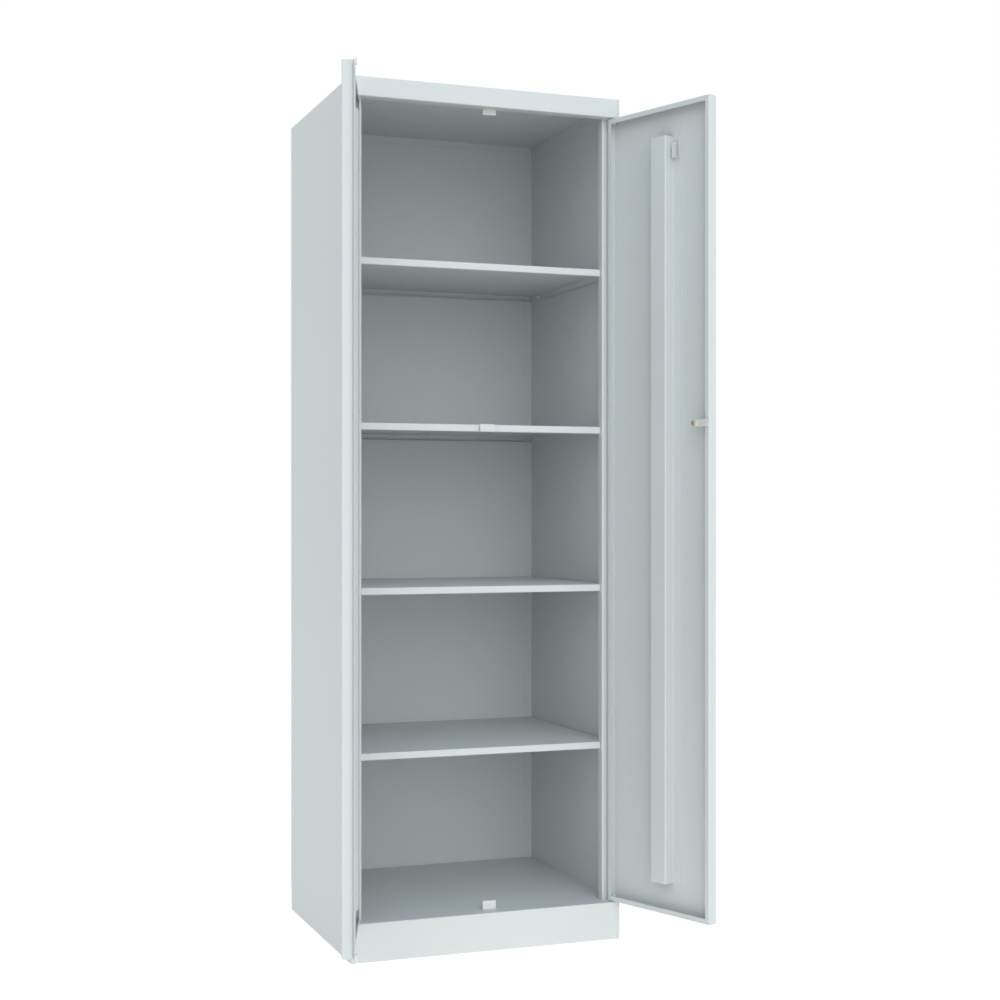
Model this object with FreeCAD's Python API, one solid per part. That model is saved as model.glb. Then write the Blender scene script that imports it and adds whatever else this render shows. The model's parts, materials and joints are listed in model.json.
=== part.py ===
import FreeCAD, Part
import math
import os

Vector = FreeCAD.Vector

# Sizes are in millimetres. X points right, Y back and Z up; the origin is under the middle of the carcass.
WIDTH = 600.0
DEPTH = 518.0
HEIGHT = 1812.0

# Sheet, folds, the air left between pieces, and how far a cutting tool passes a face
SHEET = 1.0
BEND = 1.5
FIT = 0.3
OVERRUN = 4.0

# Carcass
FASCIA_HEIGHT = 40.0
PLINTH_HEIGHT = 80.0
STILE_WIDTH = 30.0
STILE_RETURN = 19.0
EAR_RETURN = 6.0
REAR_FLANGE = 20.0
LIP_UPTURN = 12.0
PLINTH_LIP = 25.0
TRAY_FLANGE = 15.0
BACK_DROP = 29.0

# Shelves and the studs that carry them; the top compartment is taller than the others
SHELF_COUNT = 4
TOP_COMPARTMENT_EXTRA = 21.0
SHELF_EDGE = 15.0
SHELF_LIP = 10.0
SHELF_SETBACK = 10.5
SHELF_REAR_GAP = 0.8
SHELF_SIDE_GAP = 3.0
STUD_RADIUS = 3.0
STUD_SHOULDER = 2.0
STUD_LENGTH = 6.0
STUD_DROP = 8.0
STUD_FIT = 0.1
STUD_DEPTH_SHARES = (0.12, 0.88)

# Doors, with the angles at which they stand open
DOOR_THICKNESS = 22.0
DOOR_BACK_GAP = 4.5
DOOR_LIP = 11.0
DOOR_SIDE_GAP = 1.4
DOOR_END_GAP = 1.8
DOOR_MEETING_GAP = 2.0
RIGHT_REST_ANGLE = 109.6
LEFT_REST_ANGLE = 108.1

# Door pivots
PIVOT_INSET = 7.7
PIVOT_SETBACK = 10.6
PIN_RADIUS = 3.0
PIN_HEAD_RIM = 3.0
PIN_HEAD = 2.0
PIN_REACH = 14.0
PIN_CHAMFER = 0.8
BUSH_WALL = 2.0
BUSH_RIM = 2.0
BUSH_LENGTH = 10.0
RUNNING_FIT = 0.05

# Door stiffeners, hat section
STIFFENER_WIDTH = 44.0
STIFFENER_HEIGHT = 25.0
STIFFENER_FOOT = 20.0
STIFFENER_END_GAP = 64.0
STIFFENER_OFFSET = 6.8

# Lap strip on the left door, and its buffers
LAP_BASE = 9.0
LAP_OVERHANG = 0.6
LAP_REACH = 15.0
LAP_OFFSET = 3.5
LAP_BEND = 1.2
BUFFER_THICKNESS = 2.4
BUFFER_WIDTH = 12.0
BUFFER_HEIGHT = 11.5
BUFFER_RADIUS = 0.8

# Moulded stops at the top and bottom, and a folded one on a shelf's front edge, all right of the middle
STOP_WIDTH = 30.0
STOP_DEPTH = 10.0
STOP_HEIGHT = 18.5
STOP_HANG = 9.7
STOP_OFFSET = 11.0
STOP_RADIUS = 1.2
MIDDLE_STOP_SHELF = 2
MIDDLE_STOP_WIDTH = 34.0
MIDDLE_STOP_OFFSET = 7.5
MIDDLE_STOP_RISE = 0.6

# Lock on the right door; its cam turns between the lap strip and the middle stop
LOCK_INSET = 34.5
LOCK_DROP = 3.8
LOCK_WALL = 1.6
LOCK_FLANGE = 2.0
LOCK_FLANGE_RIM = 3.0
LOCK_NUT_WALL = 1.8
LOCK_NUT_HEIGHT = 5.0
PLUG_RADIUS = 4.5
PLUG_NOSE = 0.6
KEYWAY_WIDTH = 1.6
KEYWAY_LENGTH = 6.0
KEYWAY_DEPTH = 3.0
STUB_RADIUS = 3.0
STUB_FLAT_DEPTH = 0.6
STUB_END = 0.8
CAM_GAP = 0.6
CAM_CLEARANCE = 0.5
CAM_THICKNESS = 1.5
CAM_WIDTH = 15.0
CAM_LENGTH = 35.0
CAM_CORNER = 4.0
CAM_NUT_WALL = 2.7
CAM_NUT_HEIGHT = 4.5
CAM_NUT_CHAMFER = 0.8

# Hook on the right door's stiffener foot
HOOK_WIDTH = 12.0
HOOK_SHEET = 1.5
HOOK_HEIGHT = 46.0
HOOK_REACH = 11.0
HOOK_BEND = 3.7
HOOK_PRONG = 31.0
HOOK_TOP_GAP = 1.2
HOOK_SIDE_GAP = 4.5
HOOK_RIVET_RADIUS = 1.5
HOOK_RIVET_RIM = 1.3
HOOK_RIVET_GAP = 5.0
HOOK_RIVET_PITCH = 11.0

# Rivets of the carcass
RIVET_RADIUS = 2.0
RIVET_RIM = 2.0
RIVET_HEAD = 1.0
RIVET_TAIL_RIM = 1.0
RIVET_TAIL = 1.2
BACK_RIVETS_PER_SIDE = 7
BACK_RIVET_END_GAP = 40.0
TRAY_RIVET_SHARES = (0.1, 0.42, 0.77)

# Places on the carcass that follow from these sizes
FRONT = -DEPTH / 2
REAR = DEPTH / 2
SIDE = WIDTH / 2
WALL = SIDE - SHEET
FLANGE_REAR = REAR - SHEET
FLANGE_FRONT = FLANGE_REAR - SHEET
STILE_FACE = FRONT + DOOR_THICKNESS + DOOR_BACK_GAP
STILE_EDGE = SIDE - STILE_WIDTH
STILE_END = STILE_FACE + STILE_RETURN
LIP_LEVEL = HEIGHT - FASCIA_HEIGHT
BACK_LOW = PLINTH_HEIGHT - BACK_DROP
TRAY_FRONT = FRONT + SHEET + BEND
EAR_EDGE = SIDE - EAR_RETURN
SHELF_PITCH = (HEIGHT - TOP_COMPARTMENT_EXTRA - PLINTH_HEIGHT) / (SHELF_COUNT + 1)
SHELF_FRONT = STILE_FACE + SHELF_SETBACK
SHELF_REAR = FLANGE_FRONT - SHELF_REAR_GAP
SHELF_NOTCH = STILE_END + FIT
SHELF_SIDE = WALL - SHELF_SIDE_GAP

# Places on the closed doors
DOOR_BOTTOM = PLINTH_HEIGHT + DOOR_END_GAP
DOOR_TOP = LIP_LEVEL - DOOR_END_GAP
DOOR_INNER = FRONT + DOOR_THICKNESS
DOOR_SKIN = FRONT + SHEET
DOOR_FREE = DOOR_MEETING_GAP / 2
DOOR_HINGE = SIDE - DOOR_SIDE_GAP
PIVOT_X = DOOR_HINGE - PIVOT_INSET
PIVOT_Y = FRONT + PIVOT_SETBACK
BUSH_BORE = PIN_RADIUS + RUNNING_FIT
BUSH_RADIUS = BUSH_BORE + BUSH_WALL
BUSH_FLANGE = DOOR_END_GAP - FIT
STIFFENER_X = (DOOR_FREE + DOOR_HINGE) / 2 - STIFFENER_OFFSET
STIFFENER_TOP = DOOR_TOP - STIFFENER_END_GAP
STIFFENER_BOTTOM = DOOR_BOTTOM + STIFFENER_END_GAP
LAP_FACE = DOOR_INNER + LAP_OFFSET
LAP_REAR = LAP_FACE + SHEET
LAP_EDGE = -DOOR_FREE + LAP_REACH
STOP_FACE = LAP_REAR + BUFFER_THICKNESS + FIT
STOP_REAR = STOP_FACE + STOP_DEPTH
STOP_LEFT = STOP_OFFSET - STOP_WIDTH / 2
STOP_RIGHT = STOP_LEFT + STOP_WIDTH
HOOK_LEFT = STIFFENER_X - STIFFENER_WIDTH / 2 - BEND - HOOK_SIDE_GAP - HOOK_WIDTH
HOOK_HIGH = STIFFENER_TOP - HOOK_TOP_GAP
HOOK_BACK = DOOR_SKIN + SHEET


def shelf_top(number):
    """Level of a shelf's upper face."""
    return PLINTH_HEIGHT + SHELF_PITCH * (SHELF_COUNT + 1 - number)


# Places of the middle stop, and of the closed lock beside it
MIDDLE_STOP_TOP = shelf_top(MIDDLE_STOP_SHELF)
CAM_FRONT = LAP_REAR + CAM_CLEARANCE
CAM_REAR = CAM_FRONT + CAM_THICKNESS
LOCK_X = DOOR_FREE + LOCK_INSET
LOCK_Z = MIDDLE_STOP_TOP - LOCK_DROP
LOCK_END = CAM_FRONT - CAM_GAP
LOCK_BORE = PLUG_RADIUS + RUNNING_FIT
LOCK_RADIUS = LOCK_BORE + LOCK_WALL


def block(x0, x1, y0, y1, z0, z1):
    """Box between two corners."""
    return Part.makeBox(x1 - x0, y1 - y0, z1 - z0, Vector(x0, y0, z0))


def rod(radius, start, along):
    """Cylinder from a start point along a vector."""
    return Part.makeCylinder(radius, along.Length, start, along)


def hexagon(flats, start, along):
    """Hexagonal bar across its flats, from a start point along a vector, with a corner up."""
    axis = Vector(along).normalize()
    corner = Vector(0, 0, flats / math.sqrt(3))
    points = [start + FreeCAD.Rotation(axis, 60 * step).multVec(corner) for step in range(6)]
    outline = Part.makePolygon(points + [points[0]])
    return Part.Face(outline).extrude(along)


def double_d(radius, flat_depth, start, length):
    """Round bar along Y with a flat above and a flat below."""
    reach = radius - flat_depth
    end = start.y + length
    cheeks = block(start.x - radius, start.x + radius, start.y, end, start.z - reach, start.z + reach)
    return rod(radius, start, Vector(0, length, 0)).common(cheeks)


def rounded_block(x0, x1, y0, y1, z0, z1, radius):
    """Moulded block with rounded edges."""
    solid = block(x0, x1, y0, y1, z0, z1)
    return solid.makeFillet(radius, solid.Edges)


def rims(shape, place, way):
    """Round edges of a shape that lie beyond a place in a direction."""
    return [edge for edge in shape.Edges if edge.Closed and (edge.CenterOfMass - place).dot(way) > 0]


def joined(shapes):
    """One solid from several that share faces."""
    whole = shapes[0]
    for shape in shapes[1:]:
        whole = whole.fuse(shape)
    return whole.removeSplitter()


def drilled(shape, tools):
    """A shape with each tool cut away."""
    for tool in tools:
        shape = shape.cut(tool)
    return shape


def mirrored(shape):
    """The same shape on the other side of the middle plane."""
    return shape.mirror(Vector(0, 0, 0), Vector(1, 0, 0))


def both_sides(shapes):
    """Shapes together with their mirror images."""
    return shapes + [mirrored(shape) for shape in shapes]


def folded(points, sweep, thickness, bend):
    """Sheet folded along the points of its drawn face, swept along a vector.

    The sheet lies to the left of the path, seen with the sweep pointing at the viewer.
    """
    axis = Vector(sweep).normalize()
    steps = [(after - before).normalize() for before, after in zip(points, points[1:])]
    sides = [axis.cross(step) for step in steps]
    near = points[0]
    far = near + sides[0] * thickness
    edges = [Part.LineSegment(far, near).toShape()]
    for corner, step, next_step, side, next_side in zip(points[1:-1], steps, steps[1:], sides, sides[1:]):
        turn = 1 if step.cross(next_step).dot(axis) > 0 else -1
        radius = bend + thickness if turn > 0 else bend
        reach = radius * math.tan(step.getAngle(next_step) / 2)
        enter = corner - step * reach
        leave = corner + next_step * reach
        centre = enter + side * (radius * turn)
        outward = (corner - centre).normalize()
        far_enter = enter + side * thickness
        far_leave = leave + next_side * thickness
        far_radius = radius - thickness * turn
        edges.append(Part.LineSegment(near, enter).toShape())
        edges.append(Part.Arc(enter, centre + outward * radius, leave).toShape())
        edges.append(Part.LineSegment(far, far_enter).toShape())
        edges.append(Part.Arc(far_enter, centre + outward * far_radius, far_leave).toShape())
        near = leave
        far = far_leave
    far_end = points[-1] + sides[-1] * thickness
    edges.append(Part.LineSegment(near, points[-1]).toShape())
    edges.append(Part.LineSegment(far, far_end).toShape())
    edges.append(Part.LineSegment(points[-1], far_end).toShape())
    outline = Part.Wire(Part.__sortEdges__(edges))
    return Part.Face(outline).extrude(sweep)


def standing(points, low, high, bend=BEND):
    """Sheet folded along a plan outline, standing between two levels."""
    return folded([Vector(x, y, low) for x, y in points], Vector(0, 0, high - low), SHEET, bend)


def lying(points, left, right):
    """Sheet folded along a side-on section, running across the cupboard."""
    return folded([Vector(left, y, z) for y, z in points], Vector(right - left, 0, 0), SHEET, BEND)


def on_right_door(shape):
    """A piece of the right door turned from closed to its rest angle."""
    turned = shape.copy()
    turned.rotate(Vector(PIVOT_X, PIVOT_Y, 0), Vector(0, 0, 1), RIGHT_REST_ANGLE)
    return turned


def on_left_door(shape):
    """A piece of the left door turned from closed to its rest angle."""
    turned = shape.copy()
    turned.rotate(Vector(-PIVOT_X, PIVOT_Y, 0), Vector(0, 0, 1), -LEFT_REST_ANGLE)
    return turned


def rivet(place, way, grip, radius, rim, tail_rim=0):
    """Rivet with its head on a face at a place, its shank running on along a unit direction."""
    head = rod(radius + rim, place - way * RIVET_HEAD, way * RIVET_HEAD)
    head = head.makeFillet(RIVET_HEAD / 2, rims(head, place - way * (RIVET_HEAD / 2), way * -1))
    solids = [head, rod(radius, place, way * grip)]
    if tail_rim:
        solids.append(rod(radius + tail_rim, place + way * grip, way * RIVET_TAIL))
    return joined(solids)


def back_rivet_places():
    """Places on the back panel's outer face where it is riveted to the right panel's rear flange."""
    low = BACK_LOW + BACK_RIVET_END_GAP
    pitch = (HEIGHT - BACK_RIVET_END_GAP - low) / (BACK_RIVETS_PER_SIDE - 1)
    x = SIDE - REAR_FLANGE / 2
    return [Vector(x, REAR, low + pitch * number) for number in range(BACK_RIVETS_PER_SIDE)]


def middle_rivet_places():
    """Places on the back panel's outer face where it is riveted to the roof's and floor's rear flanges."""
    return [Vector(0, REAR, level - TRAY_FLANGE / 2) for level in (HEIGHT, PLINTH_HEIGHT)]


def tray_rivet_places(level):
    """Places on the inner face of a tray's right flange where it is riveted to the right panel."""
    span = FLANGE_FRONT - TRAY_FRONT
    z = level - TRAY_FLANGE / 2
    return [Vector(WALL - SHEET, TRAY_FRONT + span * share, z) for share in TRAY_RIVET_SHARES]


def stud_places(number):
    """Places on the right wall's inner face where a shelf's studs stand."""
    span = SHELF_REAR - SHELF_NOTCH
    z = shelf_top(number) - STUD_DROP
    return [Vector(WALL, SHELF_NOTCH + span * share, z) for share in STUD_DEPTH_SHARES]


def side_panel():
    """Right side panel: wall, stile with its return, rear flange, and ears beside fascia and plinth."""
    rear_fold = [(SIDE, FLANGE_REAR), (SIDE - REAR_FLANGE, FLANGE_REAR)]
    stile = [(STILE_EDGE, STILE_END), (STILE_EDGE, STILE_FACE), (SIDE, STILE_FACE)]
    ear = [(EAR_EDGE, FRONT), (SIDE, FRONT)]
    middle = standing(stile + rear_fold, PLINTH_HEIGHT, LIP_LEVEL)
    lower = standing(ear + rear_fold, 0, PLINTH_HEIGHT)
    upper = standing(ear + rear_fold, LIP_LEVEL, HEIGHT)
    holes = []
    for place in tray_rivet_places(HEIGHT) + tray_rivet_places(PLINTH_HEIGHT):
        holes.append(rod(RIVET_RADIUS, place, Vector(SHEET * 2, 0, 0)))
    for place in back_rivet_places():
        holes.append(rod(RIVET_RADIUS, place, Vector(0, -SHEET * 2, 0)))
    return drilled(joined([middle, lower, upper]), holes)


def tray(points, level, pin_seat):
    """Roof or floor: a folded section with side flanges, cleared at the side panels' folds and ears."""
    flange = block(WALL - SHEET, WALL, TRAY_FRONT, FLANGE_FRONT, level - TRAY_FLANGE, level)
    body = joined([lying(points, -WALL, WALL)] + both_sides([flange]))
    low = -OVERRUN
    high = HEIGHT + OVERRUN
    beyond = SIDE + OVERRUN
    tools = [
        block(EAR_EDGE - FIT, beyond, FRONT - OVERRUN, TRAY_FRONT, low, high),
        block(WALL - BEND, beyond, FLANGE_FRONT - BEND, REAR, low, high),
        rod(PIN_RADIUS, Vector(PIVOT_X, PIVOT_Y, pin_seat - OVERRUN), Vector(0, 0, OVERRUN * 2)),
    ]
    for place in tray_rivet_places(level):
        tools.append(rod(RIVET_RADIUS, place, Vector(SHEET, 0, 0)))
    tools = both_sides(tools)
    for place in middle_rivet_places():
        tools.append(rod(RIVET_RADIUS, place, Vector(0, -SHEET * 3, 0)))
    return drilled(body, tools)


def top_panel():
    """Roof, fascia and underside lip, folded from one sheet."""
    points = [
        (FLANGE_FRONT, HEIGHT - TRAY_FLANGE),
        (FLANGE_FRONT, HEIGHT),
        (FRONT, HEIGHT),
        (FRONT, LIP_LEVEL),
        (STILE_FACE, LIP_LEVEL),
        (STILE_FACE, LIP_LEVEL + LIP_UPTURN),
    ]
    return tray(points, HEIGHT, LIP_LEVEL)


def base_panel():
    """Floor, plinth and bottom lip, folded from one sheet."""
    points = [
        (FLANGE_FRONT, PLINTH_HEIGHT - TRAY_FLANGE),
        (FLANGE_FRONT, PLINTH_HEIGHT),
        (FRONT, PLINTH_HEIGHT),
        (FRONT, 0),
        (FRONT + PLINTH_LIP, 0),
    ]
    return tray(points, PLINTH_HEIGHT, PLINTH_HEIGHT)


def back_panel():
    """Flat sheet riveted to the rear flanges from behind."""
    sheet = block(-SIDE, SIDE, FLANGE_REAR, REAR, BACK_LOW, HEIGHT)
    through = Vector(0, -SHEET, 0)
    holes = both_sides([rod(RIVET_RADIUS, place, through) for place in back_rivet_places()])
    holes += [rod(RIVET_RADIUS, place, through) for place in middle_rivet_places()]
    return drilled(sheet, holes)


def shelf(number):
    """Folded shelf tray with a lip along its front and rear, notched around the stiles' returns."""
    top = shelf_top(number)
    low = top - SHELF_EDGE
    points = [
        (SHELF_REAR - SHELF_LIP, low),
        (SHELF_REAR, low),
        (SHELF_REAR, top),
        (SHELF_FRONT, top),
        (SHELF_FRONT, low),
        (SHELF_FRONT + SHELF_LIP, low),
    ]
    sheet = lying(points, -SHELF_SIDE, SHELF_SIDE)
    notch = block(STILE_EDGE - FIT, SIDE, SHELF_FRONT, SHELF_NOTCH, low - OVERRUN, top + OVERRUN)
    flange = block(SHELF_SIDE - SHEET, SHELF_SIDE, SHELF_NOTCH, SHELF_REAR - SHEET - BEND, low, top)
    holes = []
    for place in stud_places(number):
        holes.append(rod(STUD_RADIUS + STUD_FIT, place, Vector(-SHELF_SIDE_GAP - SHEET, 0, 0)))
    body = drilled(sheet, both_sides([notch]))
    return drilled(joined([body] + both_sides([flange])), both_sides(holes))


def shelf_studs():
    """Shouldered studs that stand on both walls and carry the shelves by their side flanges."""
    studs = []
    for number in range(1, SHELF_COUNT + 1):
        for place in stud_places(number):
            shoulder = rod(STUD_RADIUS + STUD_SHOULDER, place, Vector(-SHELF_SIDE_GAP, 0, 0))
            pin = rod(STUD_RADIUS, place, Vector(-SHELF_SIDE_GAP - STUD_LENGTH, 0, 0))
            studs.append(joined([shoulder, pin]))
    return Part.makeCompound(both_sides(studs))


def top_stop():
    """Moulded stop that hangs behind the fascia lip, with a pad against the lip's upturn."""
    low = LIP_LEVEL - STOP_HANG
    high = LIP_LEVEL + LIP_UPTURN
    body = rounded_block(STOP_LEFT, STOP_RIGHT, STOP_FACE, STOP_REAR, low, high, STOP_RADIUS)
    left = STOP_LEFT + STOP_RADIUS
    right = STOP_RIGHT - STOP_RADIUS
    pad_low = LIP_LEVEL + SHEET + BEND
    pad = block(left, right, STILE_FACE, STOP_FACE + STOP_DEPTH / 2, pad_low, high - STOP_RADIUS)
    return joined([body, pad])


def bottom_stop():
    """Moulded stop that stands on the floor."""
    high = PLINTH_HEIGHT + STOP_HEIGHT
    return rounded_block(STOP_LEFT, STOP_RIGHT, STOP_FACE, STOP_REAR, PLINTH_HEIGHT, high, STOP_RADIUS)


def middle_stop():
    """Folded stop on a shelf's front edge, its face in line with the moulded stops."""
    low = MIDDLE_STOP_TOP - SHELF_EDGE - MIDDLE_STOP_RISE
    points = [
        (STOP_FACE, MIDDLE_STOP_TOP + MIDDLE_STOP_RISE),
        (STOP_FACE, low),
        (SHELF_FRONT, low),
        (SHELF_FRONT, MIDDLE_STOP_TOP - SHEET - BEND),
    ]
    left = MIDDLE_STOP_OFFSET - MIDDLE_STOP_WIDTH / 2
    return lying(points, left, left + MIDDLE_STOP_WIDTH)


def pivot_pins():
    """Four headed pins, two hanging from the fascia lip and two standing in the floor."""
    up = Vector(0, 0, 1)
    pins = []
    for seat, way in ((LIP_LEVEL + SHEET, up * -1), (PLINTH_HEIGHT - SHEET, up)):
        place = Vector(PIVOT_X, PIVOT_Y, seat)
        head = rod(PIN_RADIUS + PIN_HEAD_RIM, place - way * PIN_HEAD, way * PIN_HEAD)
        shank = rod(PIN_RADIUS, place, way * PIN_REACH)
        shank = shank.makeChamfer(PIN_CHAMFER, rims(shank, place + way * (PIN_REACH / 2), way))
        pins.append(joined([head, shank]))
    return Part.makeCompound(both_sides(pins))


def door_bushes():
    """Flanged bushes in the right door's top and bottom walls, closed."""
    up = Vector(0, 0, 1)
    pair = []
    for seat, way in ((DOOR_TOP, up * -1), (DOOR_BOTTOM, up)):
        place = Vector(PIVOT_X, PIVOT_Y, seat)
        flange = rod(BUSH_RADIUS + BUSH_RIM, place - way * BUSH_FLANGE, way * BUSH_FLANGE)
        barrel = rod(BUSH_RADIUS, place, way * BUSH_LENGTH)
        bore = rod(BUSH_BORE, place - way * OVERRUN, way * (BUSH_LENGTH + OVERRUN * 2))
        pair.append(joined([flange, barrel]).cut(bore))
    return Part.makeCompound(pair)


def door_pan():
    """Right door leaf, closed: skin, four walls and an inward lip all round."""
    leaf = block(DOOR_FREE, DOOR_HINGE, FRONT, DOOR_INNER, DOOR_BOTTOM, DOOR_TOP)
    leaf = leaf.makeFillet(BEND + SHEET, leaf.Edges)
    left = DOOR_FREE + SHEET
    right = DOOR_HINGE - SHEET
    cavity = block(left, right, DOOR_SKIN, DOOR_INNER - SHEET, DOOR_BOTTOM + SHEET, DOOR_TOP - SHEET)
    cavity = cavity.makeFillet(BEND, cavity.Edges)
    left = DOOR_FREE + DOOR_LIP
    right = DOOR_HINGE - DOOR_LIP
    window = block(left, right, DOOR_SKIN, DOOR_INNER, DOOR_BOTTOM + DOOR_LIP, DOOR_TOP - DOOR_LIP)
    tools = [cavity, window]
    for low in (DOOR_BOTTOM, DOOR_TOP - SHEET):
        tools.append(rod(BUSH_RADIUS, Vector(PIVOT_X, PIVOT_Y, low), Vector(0, 0, SHEET)))
    return drilled(leaf, tools)


def right_door_pan():
    """Right leaf, closed, with the hole for the lock."""
    return door_pan().cut(rod(LOCK_RADIUS, Vector(LOCK_X, FRONT, LOCK_Z), Vector(0, SHEET, 0)))


def door_stiffener():
    """Right door's hat-section stiffener, closed, standing on the skin."""
    web = STIFFENER_WIDTH / 2 - SHEET
    foot = STIFFENER_WIDTH / 2 + STIFFENER_FOOT
    crown = DOOR_SKIN + STIFFENER_HEIGHT - SHEET
    points = [
        (STIFFENER_X - foot, DOOR_SKIN),
        (STIFFENER_X - web, DOOR_SKIN),
        (STIFFENER_X - web, crown),
        (STIFFENER_X + web, crown),
        (STIFFENER_X + web, DOOR_SKIN),
        (STIFFENER_X + foot, DOOR_SKIN),
    ]
    return standing(points, STIFFENER_BOTTOM, STIFFENER_TOP)


def lap_strip():
    """Z strip on the left door's free lip, closed, reaching behind the right door."""
    web = -DOOR_FREE + LAP_OVERHANG
    points = [(web - LAP_BASE, DOOR_INNER), (web, DOOR_INNER), (web, LAP_FACE), (LAP_EDGE, LAP_FACE)]
    return standing(points, DOOR_BOTTOM, DOOR_TOP, LAP_BEND)


def lap_buffers():
    """Two buffers on the closed strip, in line with the top and bottom stops."""
    right = LAP_EDGE - FIT
    left = right - BUFFER_WIDTH
    pair = []
    for low in (DOOR_BOTTOM + FIT, DOOR_TOP - FIT - BUFFER_HEIGHT):
        pad = block(left, right, LAP_REAR, LAP_REAR + BUFFER_THICKNESS, low, low + BUFFER_HEIGHT)
        outer = [edge for edge in pad.Edges if edge.CenterOfMass.y > LAP_REAR + BUFFER_THICKNESS / 4]
        pair.append(pad.makeFillet(BUFFER_RADIUS, outer))
    return Part.makeCompound(pair)


def hook_rivet_places():
    """Places of the two rivets on the closed hook's face."""
    x = HOOK_LEFT + HOOK_WIDTH / 2
    face = HOOK_BACK + HOOK_SHEET
    upper = HOOK_HIGH - HOOK_RIVET_GAP
    return [Vector(x, face, upper), Vector(x, face, upper - HOOK_RIVET_PITCH)]


def door_hook():
    """J hook of flat strip, closed, riveted to the free-side foot of the stiffener."""
    front = HOOK_BACK + HOOK_REACH
    low = HOOK_HIGH - HOOK_HEIGHT
    outline = [(HOOK_BACK, HOOK_HIGH), (HOOK_BACK, low), (front, low), (front, low + HOOK_PRONG)]
    points = [Vector(HOOK_LEFT, y, z) for y, z in outline]
    strip = folded(points, Vector(HOOK_WIDTH, 0, 0), HOOK_SHEET, HOOK_BEND)
    through = Vector(0, -HOOK_SHEET, 0)
    return drilled(strip, [rod(HOOK_RIVET_RADIUS, place, through) for place in hook_rivet_places()])


def hook_rivets():
    """Two small rivets through the closed hook."""
    way = Vector(0, -1, 0)
    pair = [rivet(place, way, HOOK_SHEET, HOOK_RIVET_RADIUS, HOOK_RIVET_RIM) for place in hook_rivet_places()]
    return Part.makeCompound(pair)


def lock_body():
    """Lock barrel with its outside flange, closed."""
    inward = Vector(0, 1, 0)
    face = Vector(LOCK_X, FRONT, LOCK_Z)
    flange = rod(LOCK_RADIUS + LOCK_FLANGE_RIM, face - inward * LOCK_FLANGE, inward * LOCK_FLANGE)
    flange = flange.makeFillet(LOCK_FLANGE / 2, rims(flange, face - inward * (LOCK_FLANGE / 2), inward * -1))
    length = LOCK_END - FRONT
    bore = rod(LOCK_BORE, face - inward * LOCK_FLANGE, inward * (LOCK_FLANGE + length))
    return joined([flange, rod(LOCK_RADIUS, face, inward * length)]).cut(bore)


def lock_nut():
    """Hexagonal nut that clamps the closed lock's barrel to the skin."""
    start = Vector(LOCK_X, DOOR_SKIN, LOCK_Z)
    along = Vector(0, LOCK_NUT_HEIGHT, 0)
    return hexagon((LOCK_RADIUS + LOCK_NUT_WALL) * 2, start, along).cut(rod(LOCK_RADIUS, start, along))


def lock_plug():
    """Turning plug, closed, with its keyway and the flatted stub that carries the cam."""
    nose = FRONT - LOCK_FLANGE - PLUG_NOSE
    plug = rod(PLUG_RADIUS, Vector(LOCK_X, nose, LOCK_Z), Vector(0, CAM_FRONT - nose, 0))
    wide = KEYWAY_LENGTH / 2
    tall = KEYWAY_WIDTH / 2
    keyway = block(LOCK_X - wide, LOCK_X + wide, nose, nose + KEYWAY_DEPTH, LOCK_Z - tall, LOCK_Z + tall)
    length = CAM_THICKNESS + CAM_NUT_HEIGHT + STUB_END
    stub = double_d(STUB_RADIUS, STUB_FLAT_DEPTH, Vector(LOCK_X, CAM_FRONT, LOCK_Z), length)
    return joined([plug.cut(keyway), stub])


def lock_cam():
    """Cam plate, closed and thrown, pointing past the free edge."""
    half = CAM_WIDTH / 2
    tip = LOCK_X - CAM_LENGTH
    tongue = block(tip, LOCK_X, CAM_FRONT, CAM_REAR, LOCK_Z - half, LOCK_Z + half)
    tip_edges = [edge for edge in tongue.Edges if edge.CenterOfMass.x < tip + CAM_CORNER / 2]
    corners = [edge for edge in tip_edges if edge.BoundBox.YLength > edge.BoundBox.ZLength]
    tongue = tongue.makeFillet(CAM_CORNER, corners)
    centre = Vector(LOCK_X, CAM_FRONT, LOCK_Z)
    hole = double_d(STUB_RADIUS + RUNNING_FIT, STUB_FLAT_DEPTH, centre, CAM_THICKNESS)
    return joined([tongue, rod(half, centre, Vector(0, CAM_THICKNESS, 0))]).cut(hole)


def cam_nut():
    """Hexagonal nut that holds the closed lock's cam."""
    start = Vector(LOCK_X, CAM_REAR, LOCK_Z)
    along = Vector(0, CAM_NUT_HEIGHT, 0)
    bore = STUB_RADIUS + RUNNING_FIT
    flats = (bore + CAM_NUT_WALL) * 2
    crown = flats / math.sqrt(3) - CAM_NUT_CHAMFER
    cone = Part.makeCone(crown + CAM_NUT_HEIGHT, crown, CAM_NUT_HEIGHT, start, along)
    return hexagon(flats, start, along).common(cone).cut(rod(bore, start, along))


def back_rivet(place, grip):
    """Rivet from behind through the back panel and what it is fixed to."""
    return rivet(place, Vector(0, -1, 0), grip, RIVET_RADIUS, RIVET_RIM, RIVET_TAIL_RIM)


def back_rivets():
    """Rivets through the back panel and the rear flanges of sides, roof and floor."""
    edge = [back_rivet(place, SHEET * 2) for place in back_rivet_places()]
    middle = [back_rivet(place, SHEET * 3) for place in middle_rivet_places()]
    return Part.makeCompound(both_sides(edge) + middle)


def tray_rivets():
    """Rivets through the roof's and floor's side flanges and the side panels, flush outside."""
    way = Vector(1, 0, 0)
    places = tray_rivet_places(HEIGHT) + tray_rivet_places(PLINTH_HEIGHT)
    right = [rivet(place, way, SHEET * 2, RIVET_RADIUS, RIVET_RIM) for place in places]
    return Part.makeCompound(both_sides(right))


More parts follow.
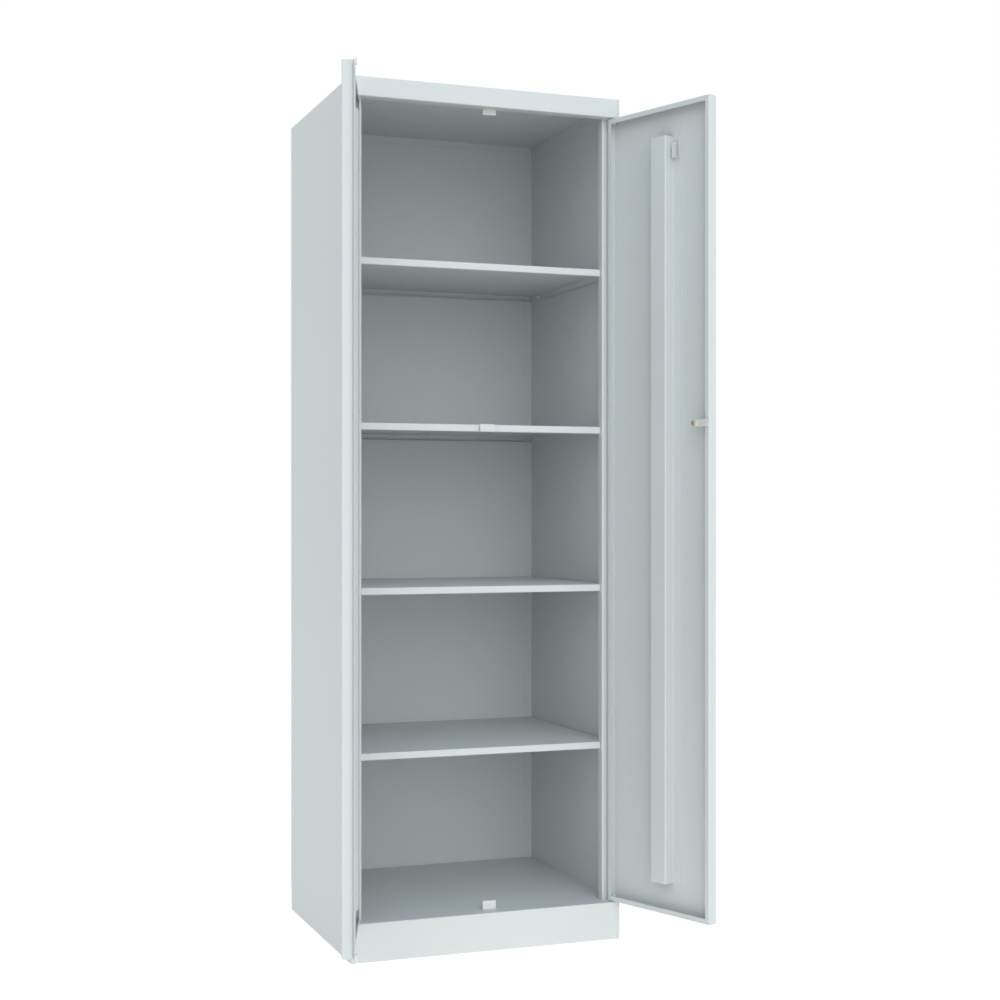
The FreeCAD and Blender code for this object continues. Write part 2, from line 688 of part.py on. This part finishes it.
def pieces():
    """Every piece at rest, by its node name."""
    named = {
        "left_side_panel": mirrored(side_panel()),
        "right_side_panel": side_panel(),
        "back_panel": back_panel(),
        "top_panel": top_panel(),
        "base_panel": base_panel(),
        "shelf_studs": shelf_studs(),
        "top_stop": top_stop(),
        "middle_stop": middle_stop(),
        "bottom_stop": bottom_stop(),
        "pivot_pins": pivot_pins(),
        "back_rivets": back_rivets(),
        "tray_rivets": tray_rivets(),
        "left_door_pan": on_left_door(mirrored(door_pan())),
        "left_door_stiffener": on_left_door(mirrored(door_stiffener())),
        "left_door_bushes": on_left_door(mirrored(door_bushes())),
        "lap_strip": on_left_door(lap_strip()),
        "lap_buffers": on_left_door(lap_buffers()),
        "right_door_pan": on_right_door(right_door_pan()),
        "right_door_stiffener": on_right_door(door_stiffener()),
        "right_door_bushes": on_right_door(door_bushes()),
        "door_hook": on_right_door(door_hook()),
        "hook_rivets": on_right_door(hook_rivets()),
        "lock_body": on_right_door(lock_body()),
        "lock_nut": on_right_door(lock_nut()),
        "lock_plug": on_right_door(lock_plug()),
        "lock_cam": on_right_door(lock_cam()),
        "cam_nut": on_right_door(cam_nut()),
    }
    for number in range(1, SHELF_COUNT + 1):
        named["shelf_%d" % number] = shelf(number)
    return named


os.makedirs("parts", exist_ok=True)
for name, shape in pieces().items():
    shape.exportStep("parts/%s.step" % name)
    print(name, len(shape.Solids), "solids", "valid" if shape.isValid() else "INVALID", round(shape.Volume))
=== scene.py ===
import json
import math

import bpy
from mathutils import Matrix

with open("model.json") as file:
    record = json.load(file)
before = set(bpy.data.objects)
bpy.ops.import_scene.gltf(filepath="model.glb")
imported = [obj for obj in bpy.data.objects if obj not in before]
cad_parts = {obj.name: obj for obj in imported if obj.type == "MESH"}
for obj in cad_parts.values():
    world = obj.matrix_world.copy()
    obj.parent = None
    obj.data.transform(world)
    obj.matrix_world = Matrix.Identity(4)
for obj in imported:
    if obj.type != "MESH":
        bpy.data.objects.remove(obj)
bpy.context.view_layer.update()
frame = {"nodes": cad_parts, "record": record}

scene = bpy.context.scene
scene.view_settings.view_transform = "Standard"

# Colours of the finishes; a plated one is clouded between a dark and a light tint
PAINT = (0.60, 0.64, 0.635)
PLASTIC = (0.68, 0.71, 0.69)
ZINC = ((0.70, 0.73, 0.71), (0.82, 0.84, 0.82))
CHROME = ((0.66, 0.67, 0.69), (0.80, 0.81, 0.83))
BRASS = ((0.74, 0.66, 0.32), (0.94, 0.88, 0.56))

# Textures: features per metre, depths of relief in metres, and the span that noise mostly keeps to
DRIFT_SCALE = 2.2
BLOTCH_SCALE = 14.0
PEEL_SCALE = 260.0
GRAIN_SCALE = 900.0
FLOW_SCALE = 60.0
FLOW_STRETCH = (1.0, 1.0, 4.0)
SKIN_SCALE = 1400.0
DRAWN_SCALE = 700.0
DRAWN_STRETCH = (1.0, 1.0, 0.08)
CELLS_PER_CLOUD = 3
PEEL_RELIEF = 0.0006
FINE_RELIEF = 0.0002
NOISE_LOW = 0.3
NOISE_HIGH = 0.7

# Places of the colour sockets on a mix node, whose sockets share their names
MIX_FIRST = 6
MIX_SECOND = 7
MIX_RESULT = 2

# Camera, level and fitted to the edges of the carcass in the photograph
CAMERA_PLACE = (-1.2276, -3.6101, 0.9186)
CAMERA_TURN = (math.radians(90), 0, math.radians(-20.4789))
CAMERA_SENSOR = 36.0
CAMERA_LENS = 61.22
CAMERA_SHIFT = 0.01332
CAMERA_REACH = 100.0

# Studio: a white surround whose light comes mostly from the front, and a pale floor
SURROUND = (0.19, 0.20, 0.20)
KEY = {"from": (-0.12, -0.93, 0.34), "sharpness": 6.0, "colour": (2.42, 2.42, 2.50)}
TOP = {"from": (0.0, 0.0, 1.0), "sharpness": 1.0, "colour": (0.58, 0.69, 0.79)}
WHITE = (1, 1, 1)
FLOOR_RADIUS = 14.0
FLOOR_SIDES = 96
FLOOR_DROP = 0.0005
FLOOR_BOUNCE = 0.82
FLOOR_GLOW = (0.50, 0.42, 0.35)
FLOOR_SEEN = 0.45
FLOOR_SEEN_GLOW = (0.74, 0.74, 0.74)


class Tree:
    """A material's nodes, with short ways to add and join them."""

    def __init__(self, name):
        self.material = bpy.data.materials.new(name)
        self.material.use_nodes = True
        self.nodes = self.material.node_tree.nodes
        self.links = self.material.node_tree.links
        self.shader = self.nodes["Principled BSDF"]
        self.place = self.nodes.new("ShaderNodeTexCoord").outputs["Object"]

    def link(self, source, target):
        self.links.new(source, target)

    def noise(self, scale, detail=2.0, roughness=0.5, stretch=None):
        """Noise in the part's metres, with features about one over the scale across."""
        node = self.nodes.new("ShaderNodeTexNoise")
        node.inputs["Scale"].default_value = scale
        node.inputs["Detail"].default_value = detail
        node.inputs["Roughness"].default_value = roughness
        place = self.place
        if stretch:
            mapping = self.nodes.new("ShaderNodeMapping")
            mapping.inputs["Scale"].default_value = stretch
            self.link(place, mapping.inputs["Vector"])
            place = mapping.outputs["Vector"]
        self.link(place, node.inputs["Vector"])
        return node.outputs["Fac"]

    def cells(self, scale):
        """Colour of random cells about one over the scale across."""
        node = self.nodes.new("ShaderNodeTexVoronoi")
        node.inputs["Scale"].default_value = scale
        self.link(self.place, node.inputs["Vector"])
        return node.outputs["Color"]

    def spread(self, value, low_to, high_to, low=NOISE_LOW, high=NOISE_HIGH):
        """A value brought from the span low to high onto another span."""
        node = self.nodes.new("ShaderNodeMapRange")
        node.inputs["From Min"].default_value = low
        node.inputs["From Max"].default_value = high
        node.inputs["To Min"].default_value = low_to
        node.inputs["To Max"].default_value = high_to
        self.link(value, node.inputs["Value"])
        return node.outputs["Result"]

    def ramp(self, value, dark, light, low=NOISE_LOW, high=NOISE_HIGH):
        """A colour that goes from dark to light as a value goes from low to high."""
        node = self.nodes.new("ShaderNodeValToRGB")
        stops = ((low, dark), (high, light))
        for element, (position, colour) in zip(node.color_ramp.elements, stops):
            element.position = position
            element.color = (*colour, 1)
        self.link(value, node.inputs["Fac"])
        return node.outputs["Color"]

    def mix(self, first, second, factor):
        """Two colours mixed by a factor."""
        node = self.nodes.new("ShaderNodeMix")
        node.data_type = "RGBA"
        self.link(factor, node.inputs["Factor"])
        self.link(first, node.inputs[MIX_FIRST])
        self.link(second, node.inputs[MIX_SECOND])
        return node.outputs[MIX_RESULT]

    def bump(self, height, strength, distance, below=None):
        """A bump from a height, on top of another bump where one is given."""
        node = self.nodes.new("ShaderNodeBump")
        node.inputs["Strength"].default_value = strength
        node.inputs["Distance"].default_value = distance
        self.link(height, node.inputs["Height"])
        if below:
            self.link(below, node.inputs["Normal"])
        return node.outputs["Normal"]

    def finish(self, colour, roughness, normal, **plain):
        """Joins the shader's inputs up; plain values are set on the shader's own sockets."""
        self.link(colour, self.shader.inputs["Base Color"])
        self.link(roughness, self.shader.inputs["Roughness"])
        self.link(normal, self.shader.inputs["Normal"])
        for name, value in plain.items():
            self.shader.inputs[name.replace("_", " ")].default_value = value
        return self.material


def shade(colour, factor):
    """A colour made lighter or darker."""
    return tuple(channel * factor for channel in colour)


# Materials

def powder_coat(name, colour):
    """Semi-matt powder coat: orange peel over fine grain, with slow drifts of tone and gloss."""
    tree = Tree(name)
    drift = tree.noise(DRIFT_SCALE, detail=3.0)
    blotch = tree.noise(BLOTCH_SCALE, detail=4.0)
    peel = tree.noise(PEEL_SCALE, detail=2.0)
    grain = tree.noise(GRAIN_SCALE, detail=1.0)
    tone = tree.ramp(drift, shade(colour, 0.985), shade(colour, 1.015))
    fleck = tree.ramp(grain, shade(colour, 0.95), shade(colour, 1.01), low=0.25, high=0.6)
    share = tree.spread(blotch, 0.25, 0.5)
    gloss = tree.spread(drift, 0.42, 0.5)
    relief = tree.bump(grain, 0.10, FINE_RELIEF, below=tree.bump(peel, 0.12, PEEL_RELIEF))
    return tree.finish(tree.mix(tone, fleck, share), gloss, relief, Specular_IOR_Level=0.4)


def moulded_plastic(name, colour, roughness):
    """Moulded plastic with a spark-eroded skin and faint flow marks."""
    tree = Tree(name)
    skin = tree.noise(SKIN_SCALE, detail=2.0)
    flow = tree.noise(FLOW_SCALE, detail=3.0, stretch=FLOW_STRETCH)
    tone = tree.ramp(flow, shade(colour, 0.96), shade(colour, 1.03))
    fleck = tree.ramp(skin, shade(colour, 0.93), shade(colour, 1.02))
    share = tree.spread(flow, 0.2, 0.5, low=0.2, high=0.8)
    gloss = tree.spread(skin, roughness - 0.05, roughness + 0.08)
    relief = tree.bump(skin, 0.2, FINE_RELIEF)
    return tree.finish(tree.mix(tone, fleck, share), gloss, relief)


def plated(name, tints, grain, roughness, lines, metallic=1.0):
    """Plated metal: clouded tints in small cells, with fine drawn lines."""
    tree = Tree(name)
    dark, light = tints
    cloud = tree.noise(grain, detail=4.0, roughness=0.6)
    drawn = tree.noise(DRAWN_SCALE, detail=2.0, stretch=DRAWN_STRETCH)
    tint = tree.ramp(cloud, dark, light)
    patch = tree.ramp(tree.cells(grain * CELLS_PER_CLOUD), dark, light, low=0.0, high=1.0)
    gloss = tree.spread(cloud, roughness, roughness + 0.1)
    relief = tree.bump(drawn, lines, FINE_RELIEF)
    return tree.finish(tree.mix(tint, patch, cloud), gloss, relief, Metallic=metallic)


def dress_nodes():
    """Gives every piece the material of the slot that its record names."""
    materials = {
        "painted_sheet": powder_coat("powder_coat_grey", PAINT),
        "stop_plastic": moulded_plastic("moulded_pale_grey", PLASTIC, roughness=0.45),
        "zinc_steel": plated("zinc_plate", ZINC, grain=300.0, roughness=0.45, lines=0.12, metallic=0.45),
        "lock_chrome": plated("bright_plate", CHROME, grain=120.0, roughness=0.12, lines=0.05),
        "nut_brass": plated("yellow_plate", BRASS, grain=400.0, roughness=0.35, lines=0.1),
    }
    for part in frame["record"]["subparts"]:
        mesh = frame["nodes"][part["node"]].data
        mesh.materials.clear()
        mesh.materials.append(materials[part["material_slot"]])


# Camera and studio

def make_camera():
    """Level camera that frames the cupboard as the photograph does."""
    data = bpy.data.cameras.new("camera")
    data.sensor_width = CAMERA_SENSOR
    data.lens = CAMERA_LENS
    data.shift_y = CAMERA_SHIFT
    data.clip_end = CAMERA_REACH
    camera = bpy.data.objects.new("camera", data)
    camera.location = CAMERA_PLACE
    camera.rotation_euler = CAMERA_TURN
    scene.collection.objects.link(camera)
    scene.camera = camera


def seen_directly(nodes, links):
    """One where a ray comes from the camera, a reflection or a refraction."""
    path = nodes.new("ShaderNodeLightPath")
    total = path.outputs["Is Camera Ray"]
    for name in ("Is Glossy Ray", "Is Transmission Ray"):
        larger = nodes.new("ShaderNodeMath")
        larger.operation = "MAXIMUM"
        links.new(total, larger.inputs[0])
        links.new(path.outputs[name], larger.inputs[1])
        total = larger.outputs["Value"]
    return total


def added(nodes, links, first, second):
    """Two shaders added together."""
    node = nodes.new("ShaderNodeAddShader")
    links.new(first, node.inputs[0])
    links.new(second, node.inputs[1])
    return node.outputs["Shader"]


def by_sight(nodes, links, lighting, seen):
    """One shader for the light that falls on the part, another where a ray sees it directly."""
    node = nodes.new("ShaderNodeMixShader")
    links.new(seen_directly(nodes, links), node.inputs[0])
    links.new(lighting, node.inputs[1])
    links.new(seen, node.inputs[2])
    return node.outputs["Shader"]


def background(nodes, colour):
    """A background of one colour."""
    node = nodes.new("ShaderNodeBackground")
    node.inputs["Color"].default_value = (*colour, 1)
    return node


def soft_light(nodes, links, light):
    """Light from one side, fading to nothing at right angles to it."""
    place = nodes.new("ShaderNodeTexCoord")
    facing = nodes.new("ShaderNodeVectorMath")
    facing.operation = "DOT_PRODUCT"
    facing.inputs[1].default_value = light["from"]
    links.new(place.outputs["Generated"], facing.inputs[0])
    level = nodes.new("ShaderNodeMapRange")
    links.new(facing.outputs["Value"], level.inputs["Value"])
    sharper = nodes.new("ShaderNodeMath")
    sharper.operation = "POWER"
    sharper.inputs[1].default_value = light["sharpness"]
    links.new(level.outputs["Result"], sharper.inputs[0])
    shine = background(nodes, light["colour"])
    links.new(sharper.outputs["Value"], shine.inputs["Strength"])
    return shine.outputs["Background"]


def make_world():
    """White to look at; as light it is soft, strongest from the front and cooler from above."""
    world = bpy.data.worlds.new("studio")
    world.use_nodes = True
    scene.world = world
    nodes = world.node_tree.nodes
    links = world.node_tree.links
    nodes.remove(nodes["Background"])
    lighting = background(nodes, SURROUND).outputs["Background"]
    for light in (KEY, TOP):
        lighting = added(nodes, links, lighting, soft_light(nodes, links, light))
    white = background(nodes, WHITE).outputs["Background"]
    links.new(by_sight(nodes, links, lighting, white), nodes["World Output"].inputs["Surface"])


def glowing_matt(nodes, links, grey, glow):
    """A matt grey that also gives off some light."""
    matt = nodes.new("ShaderNodeBsdfDiffuse")
    matt.inputs["Color"].default_value = (grey, grey, grey, 1)
    shine = nodes.new("ShaderNodeEmission")
    shine.inputs["Color"].default_value = (*glow, 1)
    return added(nodes, links, matt.outputs["BSDF"], shine.outputs["Emission"])


def make_floor():
    """Pale floor that looks white away from the object and keeps a soft shadow under it."""
    bpy.ops.mesh.primitive_circle_add(
        vertices=FLOOR_SIDES,
        radius=FLOOR_RADIUS,
        fill_type="NGON",
        location=(0, 0, -FLOOR_DROP),
    )
    floor = bpy.context.object
    floor.name = "floor"
    material = bpy.data.materials.new("pale_floor")
    material.use_nodes = True
    nodes = material.node_tree.nodes
    links = material.node_tree.links
    nodes.remove(nodes["Principled BSDF"])
    lighting = glowing_matt(nodes, links, FLOOR_BOUNCE, FLOOR_GLOW)
    seen = glowing_matt(nodes, links, FLOOR_SEEN, FLOOR_SEEN_GLOW)
    links.new(by_sight(nodes, links, lighting, seen), nodes["Material Output"].inputs["Surface"])
    floor.data.materials.append(material)


dress_nodes()
make_camera()
make_world()
make_floor()
